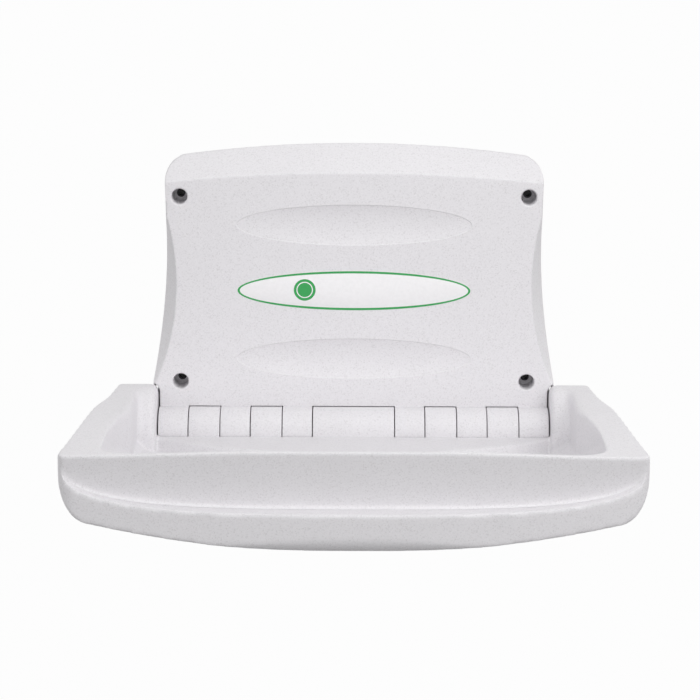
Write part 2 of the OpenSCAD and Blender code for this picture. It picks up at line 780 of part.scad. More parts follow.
panel_shell();
back_plate();
fixing_spacers();
hinge_lugs();
hinge_bushes();
panel_screws();
label_plate();
stop_pads();
damper_cylinder();
damper_bracket();
damper_pivot_pin();
damper_rod();
damper_yoke();
bed_tray();
bed_underside();
bed_frame_left();
bed_frame_right();
frame_cross_bars();
hinge_rod();
rod_clips();
rod_lock_pins();
damper_crank();
crank_pin();
bed_screws();
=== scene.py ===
"""Looks of the wall-mounted changing table: mouldings, label, hardware and stage.

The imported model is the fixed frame. The bed and panel mouldings are modelled here with
their soft edges and stand for the plain solids; the steel, zinc, rubber and nylon parts
keep their own solids and get their finishes. Metres, +X right, -Y into the room, +Z up.
"""

import math

import bpy
from mathutils import Euler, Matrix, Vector


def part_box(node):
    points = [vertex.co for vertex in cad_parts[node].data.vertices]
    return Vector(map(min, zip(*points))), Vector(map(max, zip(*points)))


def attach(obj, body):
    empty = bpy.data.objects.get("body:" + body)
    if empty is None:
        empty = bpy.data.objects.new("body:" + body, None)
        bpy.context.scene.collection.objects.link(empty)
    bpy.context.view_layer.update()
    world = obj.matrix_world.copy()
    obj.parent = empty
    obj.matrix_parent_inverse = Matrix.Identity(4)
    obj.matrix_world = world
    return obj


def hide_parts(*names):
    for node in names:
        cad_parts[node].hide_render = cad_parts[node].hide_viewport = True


bl_info = {
    "name": "Changing Table Looks",
    "version": (1, 0, 0),
    "blender": (4, 5, 0),
    "location": "3D View > Sidebar > Changing Table",
    "description": "Models the mouldings, label and finishes of the changing table",
    "category": "Object",
}

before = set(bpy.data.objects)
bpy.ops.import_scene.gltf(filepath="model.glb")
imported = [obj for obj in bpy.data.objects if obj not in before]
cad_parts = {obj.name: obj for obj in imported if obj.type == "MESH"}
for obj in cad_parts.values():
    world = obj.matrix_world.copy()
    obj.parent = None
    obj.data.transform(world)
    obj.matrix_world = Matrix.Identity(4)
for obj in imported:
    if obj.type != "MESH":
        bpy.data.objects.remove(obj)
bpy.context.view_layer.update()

MM = 0.001
BIG = 1000.0
WIDE = 500.0

# Sizes in millimetres, as the solids have them: the panel
PANEL_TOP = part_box("panel_shell")[1].z / MM
PANEL_DEPTH = 66.0
FACE_Y = -PANEL_DEPTH
WAIST_HALF = 301.0
WAIST_Z = 110.0
CROWN_R = 2000.0
SIDE_R = 1500.0
CORNER_R = 34.0
FACE_WAIST_HALF = 285.5
FACE_SIDE_R = 400.0
BAND_HEIGHT = 41.0
WALL = 4.0
RECESS_HALF_W = 188.0
RECESS_HALF_H = 32.5
RECESS_DEPTH = 5.0
RECESS_ROWS = (105, -112)
BORES = ((-279, -150), (-279, 150), (279, -150), (279, 150))
BORE_R = 12.5
BORE_MOUTH = 3
FIXING_R = 7

# The hinge
HINGE_Y = -77.0
HINGE_Z = -230.0
KNUCKLE_R = 40.0
POCKET_R = 41.5
ROD_BORE_R = 8.5
HALF_GAP = 0.75
EDGES = (66.0, 114.4, 165.6, 214.0, 265.2, 313.6)
PANEL_SPANS = ((66.0, 114.4), (165.6, 214.0), (265.2, 313.6))
BED_SPANS = ((114.4, 165.6), (214.0, 265.2))
EAR_INNER = 315.35
EAR_R = 76.0
EAR_ROUND = 12.0
EAR_GAP = 2.0

# The bed
BED_HALF = 429.0
EAR_HALF = 380.5
SHOULDER = 8.3
SHOULDER_START = 150
SHOULDER_RUN = 105
REACH = 560.0
BULGE = 25.0
CORNER_BULGE = 9.0
FRONT_CORNER_R = 30.0
CORNER_D = REACH + CORNER_BULGE - FRONT_CORNER_R
RIM_Z = -155.0
BELLY_Z = -300.5
BELLY_R = 1870.0
BELLY_CORNER_R = 50.0
BELLY_CORNER_H = 75.0
NOSE_R = 24.0
FRONT_LEAN = 12.0
LEDGE_TOP = RIM_Z - 3
LEDGE_DROP = 83.0
LEDGE_POWER = 3.4
LEDGE_HALF = BED_HALF - 5
HOLLOW_HALF = 369.0
HOLLOW_TAPER = 24.0
TAPER_END = 450
TAPER_RUN = 200
HOLLOW_CORNER_R = 50.0
HOLLOW_SIDE_R = 62.0
HOLLOW_FRONT_R = 45.0
FRONT_RIM = 13.0
SHELF_Z = -230.0
BASIN_Z = -250.0
SHELF_R = 520.0
SHELF_REACH = 235.0
BED_SCREWS = ((60, -300), (60, -470), (250, -300), (250, -470))
SCREW_SEAT_R = 5
SCREW_SEAT_DEPTH = 2

# Finer than the solids
RECESS_STEP = 1.0
PARTING_GAP = 0.12
POST_PASSES = 60
PANEL_TRIANGLES = 150000
BED_TRIANGLES = 370000

# The stage, in metres and degrees; a lamp's last number is its share of the key power
ZENITH_SHARE = 0.3
LAMPS = (
    ("key_lamp", (1.8, -2.9, 1.7), 1.8, 1.0),
    ("top_lamp", (0.2, -1.0, 1.3), 0.8, 0.18),
)
LAMP_AIM = (0, -0.3, -0.15)
CAMERA_PLACE = (-0.006, -4.460, 0.732)
CAMERA_PITCH = 10.695
CAMERA_TURN = 0.2


# ---- outlines -------------------------------------------------------------------


def clamp(v):
    return min(1.0, max(0.0, v))


def smooth(t):
    t = clamp(t)
    return t * t * (3 - 2 * t)


def arc(cx, cy, r, a0, a1, n):
    turn = [math.radians(a0 + (a1 - a0) * i / n) for i in range(n + 1)]
    return [(cx + r * math.cos(a), cy + r * math.sin(a)) for a in turn]


def mirrored(points):
    """The right half of an outline, then its mirror image."""
    left = [(-x, y) for x, y in reversed(points) if abs(x) > 1e-6]
    return points + left


def crown_z(x, g=0.0):
    return PANEL_TOP + g - x * x / (2 * CROWN_R)


def side_x(z, g=0.0):
    return WAIST_HALF + g + (z - WAIST_Z) ** 2 / (2 * SIDE_R)


def panel_outline(g=0.0):
    r = CORNER_R + g
    cz = crown_z(WAIST_HALF - CORNER_R, g) - r - 2
    cx = side_x(cz, g) - r
    z0 = HINGE_Z - KNUCKLE_R - g
    top = [(x, crown_z(x, g)) for x in (cx * i / 24 + i * 10 / 24 for i in range(25))]
    corner = arc(cx, cz, r, 66, 3, 12)
    side = [(side_x(z, g), z) for z in (cz + (z0 - cz) * i / 30 for i in range(1, 31))]
    return mirrored(top + corner + side)


def bed_half_at(d):
    """Half the bed's width at a distance from the wall."""
    flare = (BED_HALF - EAR_HALF - SHOULDER) / (CORNER_D + HINGE_Y)
    shoulder = SHOULDER * smooth((d - SHOULDER_START) / SHOULDER_RUN)
    return EAR_HALF + flare * (d + HINGE_Y) + shoulder


def hollow_half_at(d):
    return HOLLOW_HALF - HOLLOW_TAPER * clamp((TAPER_END - d) / TAPER_RUN) ** 2


def bed_plan(g=0.0):
    d0 = CORNER_D
    flank = [(bed_half_at(d) + g, -d) for d in (1 + (d0 - 1) * i / 40 for i in range(41))]
    r = FRONT_CORNER_R
    corner = arc(bed_half_at(d0) - r, -d0, r + g, 0, -80, 12)[1:]
    lx, ly = corner[-1]
    swell = -REACH - BULGE - g
    front = []
    for i in range(1, 31):
        x = lx * (1 - i / 30)
        front.append((x, swell + (ly - swell) * (x / lx) ** 2))
    return mirrored(flank + corner + front)


def bed_front_outline(g=0.0):
    r = BELLY_CORNER_R + g
    h = BELLY_CORNER_H + g
    half = BED_HALF + g
    base = BELLY_Z - g
    cx = half - r
    cz = base + cx * cx / (2 * BELLY_R) + h
    places = [(cx + 8) * i / 30 for i in range(31)]
    bottom = [(x, base + x * x / (2 * BELLY_R)) for x in places]
    turn = (math.radians(-74 + 74 * i / 14) for i in range(15))
    corner = [(cx + r * math.cos(t), cz + h * math.sin(t)) for t in turn]
    return mirrored(bottom + corner + [(half, RIM_Z + g)])


def bed_side_outline(g=0.0):
    """(Y, Z) outline: straight rim, round ears behind, rounded lower front."""
    low = BELLY_Z - 20 - g
    front = -REACH - BULGE
    r = NOSE_R
    ear = EAR_R + g
    top = RIM_Z + g
    start = math.degrees(math.asin((top - HINGE_Z) / ear))
    back = arc(HINGE_Y, HINGE_Z, ear, start, -89.9, 40)
    under = [(HINGE_Y, low)] if low < HINGE_Z - ear else []
    nose = arc(front + r, BELLY_Z + r, r + g, 270, 180, 16)
    nose = [p for p in nose if p[1] > low] or nose
    return [(front - g, top)] + back + under + [(front + r, low)] + nose


def ledge_z(x):
    """Height of the crescent ledge's back edge."""
    share = clamp(abs(x) / LEDGE_HALF)
    return LEDGE_TOP - LEDGE_DROP * (1 - share**LEDGE_POWER) ** (1 / LEDGE_POWER)


def lean_y(z):
    """The upper front wall leans back on its way down to the ledge."""
    return -REACH + FRONT_LEAN * (RIM_Z - z) / LEDGE_DROP


def above_ledge(g=0.0):
    curve = []
    for i in range(-40, 41):
        x = BED_HALF * math.sin(math.radians(90 * i / 40))
        curve.append((x, ledge_z(x) - g))
    ends = [(BIG, LEDGE_TOP - g), (BIG, BIG), (-BIG, BIG)]
    return [(-BIG, LEDGE_TOP - g)] + curve + ends


def hollow_plan(g=0.0):
    r = HOLLOW_CORNER_R
    d1 = REACH - FRONT_RIM - r
    d0 = 3 - HINGE_Y
    places = [d0 + (d1 - d0) * i / 30 for i in range(31)]
    side = [(hollow_half_at(d) + g, -d) for d in places]
    corner = arc(hollow_half_at(d1) - r, -d1, r + g, 0, -90, 12)[1:]
    return mirrored([(EAR_INNER + g, 10), (EAR_INNER + g, -d0)] + side + corner)


def tub_wall(start, reach, g):
    """Quarter oval from the floor of the hollow up to the rim."""
    turn = [math.radians(90 * i / 20) for i in range(21)]
    depth = RIM_Z - BASIN_Z + g
    return [(start + reach * math.sin(a), RIM_Z - depth * math.cos(a)) for a in turn]


def hollow_front_outline(g=0.0):
    tub = tub_wall(HOLLOW_HALF - HOLLOW_SIDE_R, HOLLOW_SIDE_R + g, g)
    return mirrored([(0, BASIN_Z - g)] + tub + [(HOLLOW_HALF + g, RIM_Z + 30)])


def hollow_side_outline(g=0.0):
    inner = -REACH + FRONT_RIM
    tub = tub_wall(inner + HOLLOW_FRONT_R, -(HOLLOW_FRONT_R + g), g)
    return [(10, RIM_Z + 30), (10, BASIN_Z - g)] + tub + [(inner - g, RIM_Z + 30)]


# ---- bench work -----------------------------------------------------------------


def clear_selection():
    if bpy.context.object and bpy.context.object.mode != "OBJECT":
        bpy.ops.object.mode_set(mode="OBJECT")
    bpy.ops.object.select_all(action="DESELECT")


def pick(obj):
    clear_selection()
    obj.select_set(True)
    bpy.context.view_layer.objects.active = obj


def edit(obj):
    pick(obj)
    bpy.ops.object.mode_set(mode="EDIT")
    bpy.ops.mesh.select_all(action="SELECT")


def leave_outward():
    """Turns every face outward and leaves edit mode."""
    bpy.ops.mesh.select_all(action="SELECT")
    bpy.ops.mesh.normals_make_consistent(inside=False)
    bpy.ops.object.mode_set(mode="OBJECT")


def rest(obj):
    """Puts the object at the origin, with its place in its mesh."""
    pick(obj)
    bpy.ops.object.transform_apply(location=True, rotation=True, scale=True)
    return obj


def at(axis, a, b, c):
    """A point from its place in the outline's plane and along the outline's axis."""
    return {"X": (c, a, b), "Y": (a, c, b), "Z": (a, b, c)}[axis]


def prism(name, outline, axis, low, high):
    """Solid drawn as an outline and extruded along an axis, in millimetres."""
    clear_selection()
    bpy.ops.mesh.primitive_circle_add(vertices=len(outline), radius=1, fill_type="NGON")
    obj = bpy.context.object
    obj.name = name
    for vertex, (a, b) in zip(obj.data.vertices, outline):
        vertex.co = Vector(at(axis, a, b, low)) * MM
    edit(obj)
    step = Vector(at(axis, 0, 0, high - low)) * MM
    bpy.ops.mesh.extrude_region_move(TRANSFORM_OT_translate={"value": step})
    leave_outward()
    return obj


def cone(name, r0, r1, start, end, sides=96):
    """Cone between two points, in millimetres."""
    clear_selection()
    a, b = Vector(start), Vector(end)
    turn = (b - a).to_track_quat("Z", "Y").to_euler()
    bpy.ops.mesh.primitive_cone_add(
        vertices=sides, radius1=r0 * MM, radius2=r1 * MM, depth=(b - a).length * MM,
        location=(a + b) / 2 * MM, rotation=turn,
    )
    obj = bpy.context.object
    obj.name = name
    return rest(obj)


def bar(name, r, start, end, sides=96):
    return cone(name, r, r, start, end, sides)


def hinge_bar(name, r, x0, x1):
    return bar(name, r, (x0, HINGE_Y, HINGE_Z), (x1, HINGE_Y, HINGE_Z), 128)


def block(name, x0, x1, y0, y1, z0, z1):
    return prism(name, [(x0, y0), (x1, y0), (x1, y1), (x0, y1)], "Z", z0, z1)


def apply_modifier(obj, kind, **settings):
    pick(obj)
    mod = obj.modifiers.new(kind.title(), kind)
    for key, value in settings.items():
        setattr(mod, key, value)
    bpy.ops.object.modifier_apply(modifier=mod.name)
    return obj


def shape(obj, tools, operation="DIFFERENCE"):
    """Cuts, joins or trims a piece with tools, which are used up."""
    for tool in tools:
        apply_modifier(
            obj, "BOOLEAN", operation=operation, solver="MANIFOLD", object=tool
        )
        if not obj.data.polygons:
            raise RuntimeError(f"{obj.name} lost its faces against {tool.name}")
        bpy.data.objects.remove(tool)
    return obj


def mirror_copy(obj):
    """A copy on the other side of the middle plane, with its own mesh."""
    pick(obj)
    bpy.ops.object.duplicate()
    copy = bpy.context.object
    copy.scale.x = -1
    rest(copy)
    edit(copy)
    leave_outward()
    return copy


def both(obj):
    return [obj, mirror_copy(obj)]


def bevelled(obj, width, segments=3):
    return apply_modifier(
        obj, "BEVEL", width=width * MM, segments=segments, limit_method="ANGLE",
        angle_limit=math.radians(40), use_clamp_overlap=True,
    )


def soften(obj, grain, passes):
    """Rounds every edge of a moulding, as a thick plastic skin has them."""
    apply_modifier(obj, "REMESH", mode="VOXEL", voxel_size=grain)
    apply_modifier(obj, "SMOOTH", factor=0.5, iterations=passes)
    return obj


def thin_out(obj, triangles):
    """Fewer triangles on the flat parts, and the shape kept."""
    now = sum(len(p.vertices) - 2 for p in obj.data.polygons)
    if now > triangles:
        apply_modifier(obj, "DECIMATE", ratio=triangles / now)
    return obj


def finish_piece(obj, name, finish, body, slot, *nodes, angle=32):
    obj.name = name
    obj.data.name = name
    pick(obj)
    bpy.ops.object.shade_smooth_by_angle(angle=math.radians(angle))
    obj.data.materials.clear()
    obj.data.materials.append(finish)
    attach(obj, body)
    if nodes:
        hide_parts(*nodes)
    return obj


def lathe(name, points, centre, axis="X", sides=160):
    """Solid turned from a closed (radius, along) outline, a ring or one that starts
    and ends on the axis."""
    clear_selection()
    bpy.ops.mesh.primitive_circle_add(vertices=len(points), radius=1, fill_type="NOTHING")
    obj = bpy.context.object
    obj.name = name
    cx, cy, cz = centre
    for vertex, (r, along) in zip(obj.data.vertices, points):
        place = (cx + along, cy, cz + r) if axis == "X" else (cx + r, cy + along, cz)
        vertex.co = Vector(place) * MM
    edit(obj)
    turn = (1, 0, 0) if axis == "X" else (0, 1, 0)
    bpy.ops.mesh.spin(
        steps=sides, angle=math.tau, center=Vector(centre) * MM, axis=turn,
        use_auto_merge=True,
    )
    bpy.ops.mesh.select_all(action="SELECT")
    bpy.ops.mesh.remove_doubles(threshold=2e-6)
    bpy.ops.mesh.dissolve_degenerate(threshold=1e-8)
    bpy.ops.mesh.delete_loose()
    leave_outward()
    return obj


# ---- panel ----------------------------------------------------------------------


def ear_edge(g):
    """Rounded inner edge of the ears as (radius about the hinge line, x), g larger."""
    r = EAR_ROUND + g
    turn = [math.radians(a) for a in range(0, 80, 5)]
    return [
        (EAR_R - EAR_ROUND + r * math.sin(a), EAR_INNER + EAR_ROUND - r * math.cos(a))
        for a in turn
    ]


def ear_sweeps(g):
    """Room for the round ears beside the lowest part of the panel."""
    c = EAR_GAP + g
    out = EAR_INNER + EAR_ROUND
    profile = [(0, EAR_INNER - c)] + ear_edge(c)
    profile += [(EAR_R + c, out + 1), (EAR_R + c, WIDE), (0, WIDE)]
    edge = EDGES[5] - g
    top = HINGE_Z + EAR_R + EAR_GAP + g + 0.2
    tools = both(lathe("ear_room", profile, (0, HINGE_Y, HINGE_Z)))
    tools += both(block("under_room", edge, WIDE, -BIG, 10, -BIG, HINGE_Z))
    tools += both(block("side_room", out - g, WIDE, -BIG, 10, -BIG, top))
    return tools


def band_slope(g):
    """Everything under the band's shallow curve, which leans back to the wall."""
    lean = math.atan2(BAND_HEIGHT, PANEL_DEPTH - 6)
    r = CROWN_R * 1.8
    turn = Euler((lean, 0, 0)).to_matrix()
    base = Vector((0, FACE_Y, PANEL_TOP - BAND_HEIGHT + g))
    ends = [base + turn @ Vector((0, y, -r)) for y in (-BIG, BIG)]
    return bar("band_slope", r, *ends, 1440)


def panel_slab(name, g=0.0):
    slab = prism(name, panel_outline(g), "Y", FACE_Y - g, 0)
    shape(slab, [band_slope(g)], "INTERSECT")
    x = FACE_WAIST_HALF + FACE_SIDE_R + g
    back, front = (x, 0.01, 10), (x, FACE_Y - 1, 10)
    flank = cone("flank", FACE_SIDE_R - 24, FACE_SIDE_R + 0.5, back, front, 720)
    shape(slab, both(flank))
    return shape(slab, ear_sweeps(g))


def scoop(z, g=0.0):
    """Oval recess, as the side of a long spindle."""
    w, h, d = RECESS_HALF_W, RECESS_HALF_H, RECESS_DEPTH
    r = (h * h + d * d) / (2 * d)
    rise = (w * w + d * d) / (2 * d)
    half = math.sqrt(2 * rise * (d + 12))
    spindle = []
    for i in range(81):
        along = -half + 2 * half * i / 80
        spindle.append((r - rise + math.sqrt((rise + g) ** 2 - along * along), along))
    spindle = [(0, -half)] + spindle + [(0, half)]
    return lathe("scoop", spindle, (0, RECESS_STEP + FACE_Y - r + d, z), sides=200)


def recess(z):
    """Oval recess with a low bevelled step around it."""
    inner_w, inner_h, outer_w, outer_h = 187.2, 31.7, 189.4, 33.9
    top, low = FACE_Y - 1, FACE_Y + RECESS_STEP + 0.2
    edge = oval("recess_edge", inner_w, inner_h, top, FACE_Y + 12, 0, z, 240)
    lip = oval("recess_lip", outer_w, outer_h, top, low, 0, z, 240)
    for vertex in lip.data.vertices:
        if vertex.co.y > FACE_Y * MM:
            vertex.co.x *= inner_w / outer_w
            vertex.co.z = (z + (vertex.co.z / MM - z) * inner_h / outer_h) * MM
    lip.data.update()
    return [shape(scoop(z), [edge], "INTERSECT"), lip]


def knuckle_room(x0, x1, g=0.0):
    """Pocket in the panel for one knuckle of the bed."""
    a, b = x0 - HALF_GAP - g, x1 + HALF_GAP + g
    deep = HINGE_Y + POCKET_R + g
    return [
        hinge_bar("pocket", POCKET_R + g, a, b),
        block("pocket_block", a, b, -BIG, deep, -BIG, HINGE_Z),
    ]


def knuckle_rooms(g=0.0):
    tools = knuckle_room(-EDGES[0], EDGES[0], g)
    for x0, x1 in BED_SPANS:
        tools += knuckle_room(x0, x1, g) + knuckle_room(-x1, -x0, g)
    return tools


def panel_knuckle(x0, x1, g=0.0, edge=0.0):
    a, b = x0 + HALF_GAP + g, x1 - HALF_GAP - g
    knuckle = hinge_bar("panel_knuckle", KNUCKLE_R - g, a, b)
    low = HINGE_Z - KNUCKLE_R + g
    shape(knuckle, [block("back", a, b, HINGE_Y, g / 4, low, HINGE_Z)], "UNION")
    return bevelled(knuckle, edge) if edge else knuckle


def hollow_out(panel):
    """Leaves a wall of even thickness, open towards the plate behind it."""
    room = panel_slab("panel_room", -WALL)
    edge = EDGES[5] - WALL
    low = HINGE_Z - KNUCKLE_R + WALL
    top = HINGE_Z + KNUCKLE_R
    inner = [block("lower_room", -edge, edge, FACE_Y + WALL, 1, low, top)]
    for x0, x1 in PANEL_SPANS:
        inner += both(panel_knuckle(x0, x1, WALL))
    inner.append(block("open_back", -290, 290, -5, 1, HINGE_Z, 150))
    shape(room, inner, "UNION")
    shape(room, knuckle_rooms(WALL) + [scoop(z, WALL) for z in RECESS_ROWS])
    shape(panel, [room])


def bore_tools(x, z):
    """Counterbore with a rounded mouth, and the fixing hole behind it."""
    mouth = BORE_R + BORE_MOUTH
    profile = [(0, -10), (mouth, -10), (mouth, -1.2)]
    for a in (math.radians(i * 15) for i in range(1, 7)):
        r = mouth - BORE_MOUTH * math.sin(a)
        profile.append((r, BORE_MOUTH - BORE_MOUTH * math.cos(a)))
    profile += [(BORE_R, 49), (BORE_R - 1, 50), (0, 50)]
    return [
        lathe("bore", profile, (x, FACE_Y, z), "Y", 64),
        bar("fixing_hole", FIXING_R, (x, FACE_Y + 40, z), (x, 1, z), 48),
    ]


def make_panel(settings, finish):
    panel = panel_slab("panel")
    soften(panel, settings.panel_grain, settings.panel_passes)
    thin_out(panel, PANEL_TRIANGLES)
    for z in RECESS_ROWS:
        shape(panel, recess(z))
    knuckles = []
    for x0, x1 in PANEL_SPANS:
        knuckles += both(panel_knuckle(x0, x1, edge=settings.knuckle_edge / MM))
    shape(panel, knuckles, "UNION")
    shape(panel, knuckle_rooms())
    hollow_out(panel)
    tubes = [bar("tube", BORE_R + WALL, (x, FACE_Y + 1, z), (x, -3, z)) for x, z in BORES]
    shape(panel, tubes, "UNION")
    for x, z in BORES:
        shape(panel, bore_tools(x, z))
    finish_piece(
        panel, "panel_moulding", finish, "wall_unit", "moulding", "panel_shell", angle=20
    )


# ---- bed ------------------------------------------------------------------------


def bed_outside(name, g=0.0):
    bed = prism(name, bed_plan(g), "Z", -BIG, BIG)
    shape(bed, [prism("front_view", bed_front_outline(g), "Y", -BIG, 10)], "INTERSECT")
    shape(bed, [prism("side_view", bed_side_outline(g), "X", -WIDE, WIDE)], "INTERSECT")
    top, low = RIM_Z + 50, RIM_Z - LEDGE_DROP - 20
    lean = [(-BIG, top), (lean_y(top) - g, top), (lean_y(low) - g, low), (-BIG, low)]
    cut = prism("ledge_cut", above_ledge(-g), "Y", -BIG, 0)
    shape(cut, [prism("front_wall", lean, "X", -BIG, BIG)], "INTERSECT")
    return shape(bed, [cut])


def bed_hollow(g=0.0):
    hollow = prism("bed_hollow", hollow_plan(g), "Z", BASIN_Z - g, RIM_Z + 60)
    for name, outline, axis, low, high in (
        ("hollow_front", hollow_front_outline(g), "Y", -BIG, 20),
        ("hollow_side", hollow_side_outline(g), "X", -WIDE, WIDE),
    ):
        shape(hollow, [prism(name, outline, axis, low, high)], "INTERSECT")
    y = SHELF_R - SHELF_REACH
    low, high = (0, y, BASIN_Z - 10), (0, y, SHELF_Z - g)
    shelf = cone("shelf", SHELF_R + 12 - g, SHELF_R - g, low, high, 720)
    ear = hinge_bar("ear_disc", EAR_R - 0.5 - g, EAR_INNER + g, WIDE)
    return shape(hollow, [shelf] + both(ear))


def hinge_room(g=0.0):
    """Room between the ears for the panel and its knuckles."""
    x = EAR_INNER + g
    return [
        hinge_bar("hinge_pocket", POCKET_R + g, -x, x),
        block("rear_room", -x, x, -80 - g, 10, -BIG, RIM_Z + 50),
    ]


def ear_reliefs(g=0.0):
    """Relief beside the ears that clears the panel's lower corners."""
    out = EAR_INNER + EAR_ROUND + 1.2 + g
    start = EAR_INNER - 6 - g
    far = EAR_R + 36 + g
    profile = [(EAR_R - EAR_ROUND, start)] + ear_edge(-g)
    profile += [(EAR_R + 0.5 - g, out), (far, out), (far, start)]
    ring = lathe("ear_relief", profile, (0, HINGE_Y, HINGE_Z))
    upper = block("upper", 0, WIDE, -BIG, BIG, HINGE_Z - 1 - g, BIG)
    shape(ring, [upper], "INTERSECT")
    return both(ring)


def bed_knuckle(x0, x1, edge):
    a, b = x0 + HALF_GAP, x1 - HALF_GAP
    knuckle = hinge_bar("bed_knuckle", KNUCKLE_R, a, b)
    bevelled(knuckle, edge)
    front, back, low, high = HINGE_Y - 5, -40.8, HINGE_Z - 42, HINGE_Z - 10
    heel = [(front, high), (front, low), (back, low), (back, high)]
    shape(knuckle, [prism("heel", heel, "X", a, b)], "UNION")
    lower = arc(HINGE_Y, HINGE_Z, POCKET_R + WALL, 180, 270, 24) + [(HINGE_Y, HINGE_Z)]
    return shape(knuckle, [prism("root", lower, "X", a, b)], "UNION")


def dip_rim(bed, depth):
    """The rim falls a little towards the front corners."""
    for vertex in bed.data.vertices:
        x, y, z = vertex.co / MM
        share = smooth((abs(x) - 120) / 290) * smooth((-y - 260) / 260)
        up = smooth((z - SHELF_Z) / (RIM_Z - SHELF_Z))
        vertex.co.z -= depth * MM * share * up
    bed.data.update()


def front_y(x):
    """Front of the lower bed at x."""
    lx = BED_HALF - FRONT_CORNER_R
    share = (x / lx) ** 2
    return -REACH - BULGE + (BULGE - CORNER_BULGE) * share


def slope_ledge(bed, drop):
    """The crescent ledge slopes down to its front edge."""
    for vertex in bed.data.vertices:
        x, y, z = vertex.co / MM
        back = lean_y(ledge_z(x))
        if y < back + 2:
            low = clamp((ledge_z(x) - drop - z) / 60)
            deep = back - front_y(min(abs(x), BED_HALF - 12))
            out = smooth((back - y + 1) / deep)
            near = smooth((z - ledge_z(x) + 34) / 30)
            vertex.co.z -= drop * MM * out * near
            vertex.co.y += 2.5 * MM * low * out
    bed.data.update()


def soften_posts(bed):
    """Broad rounding where the rim runs down beside the ears."""
    inner, outer, near, far, low = 290, 372, 92, 300, -226
    group = bed.vertex_groups.new(name="posts")
    for vertex in bed.data.vertices:
        x, d, z = abs(vertex.co.x) / MM, -vertex.co.y / MM, vertex.co.z / MM
        if inner < x < outer and near < d < far and z > low:
            weight = smooth((d - near) / 30) * smooth((far - d) / 60)
            weight = weight * smooth((outer - x) / 16) * smooth((z - low) / 12)
            group.add([vertex.index], weight, "REPLACE")
    apply_modifier(
        bed, "SMOOTH", factor=0.5, iterations=POST_PASSES, vertex_group="posts"
    )
    bed.vertex_groups.clear()


def tray_side(g):
    """Everything on the tray's side of the parting, with its edge g lower."""
    upper = prism("upper_part", above_ledge(g), "Y", -BIG, 20)
    tools = [bed_hollow(WALL - g), *hinge_room(WALL - g), *ear_reliefs(WALL - g)]
    return shape(upper, tools, "UNION")


def screw_seats():
    """Counterbores of the eight screws under the bed."""
    seats = []
    for x, y in BED_SCREWS:
        top = BELLY_Z + x * x / (2 * BELLY_R) + SCREW_SEAT_DEPTH
        low, high = (x, y, BELLY_Z - 20), (x, y, top)
        seats += both(bar("screw_seat", SCREW_SEAT_R, low, high, 64))
    return seats


def make_bed(settings, finish):
    bed = bed_outside("bed")
    hollow = bed_hollow()
    shape(hollow, ear_reliefs(), "UNION")
    shape(bed, [hollow])
    room = block("above_hinge", -EAR_INNER, EAR_INNER, -118, 10, HINGE_Z + 4, RIM_Z + 50)
    shape(bed, [room])
    soften(bed, settings.bed_grain, settings.bed_passes)
    soften_posts(bed)
    slope_ledge(bed, settings.ledge_slope)
    dip_rim(bed, settings.rim_dip)
    thin_out(bed, BED_TRIANGLES)
    shape(bed, hinge_room())
    edge = settings.knuckle_edge / MM
    knuckles = [bed_knuckle(-EDGES[0], EDGES[0], edge)]
    for x0, x1 in BED_SPANS:
        knuckles += both(bed_knuckle(x0, x1, edge))
    shape(bed, knuckles, "UNION")
    shape(bed, [hinge_bar("rod_bore", ROD_BORE_R, -WIDE, WIDE)])

    pick(bed)
    bpy.ops.object.duplicate()
    under = bpy.context.object
    shape(bed, [tray_side(-PARTING_GAP)], "INTERSECT")
    room = bed_outside("bed_room", -WALL)
    edge = above_ledge(settings.ledge_slope + 5)
    shape(room, [prism("ledge_room", edge, "Y", -BIG, 18 - REACH)])
    shape(under, [tray_side(PARTING_GAP), room] + screw_seats())
    finish_piece(bed, "tray_moulding", finish, "bed", "moulding", "bed_tray")
    finish_piece(under, "underside_moulding", finish, "bed", "moulding", "bed_underside")


# ---- label ----------------------------------------------------------------------


def oval(name, half_w, half_h, low, high, x=0.0, z=-1.0, sides=160):
    turn = [math.tau * i / sides for i in range(sides)]
    outline = [(x + half_w * math.cos(a), z + half_h * math.sin(a)) for a in turn]
    return prism(name, outline, "Y", low, high)


def make_label(white, green):
    """Bare oval film with a coloured edge and a plain disc, in the solid's place."""
    film = oval("label_film", 187, 32, FACE_Y - 0.42, FACE_Y)
    bevelled(film, 0.12, 2)
    top, low = FACE_Y - 0.46, FACE_Y - 0.3
    edge = oval("label_edge", 186.7, 31.7, top, low)
    shape(edge, [oval("inside", 183.1, 28.1, FACE_Y - 2, FACE_Y + 2)])
    disc_x, disc_z = -79, 0
    disc = oval("label_disc", 17.5, 17.5, top, low, disc_x, disc_z, 96)
    ring = oval("ring", 13.2, 13.2, FACE_Y - 2, FACE_Y + 2, disc_x, disc_z, 96)
    core = oval("core", 11.6, 11.6, FACE_Y - 3, FACE_Y + 3, disc_x, disc_z, 96)
    shape(disc, [shape(ring, [core])])
    for piece, finish in ((film, white), (edge, green), (disc, green)):
        finish_piece(piece, piece.name, finish, "wall_unit", "label", "label_plate")


# ---- finishes -------------------------------------------------------------------


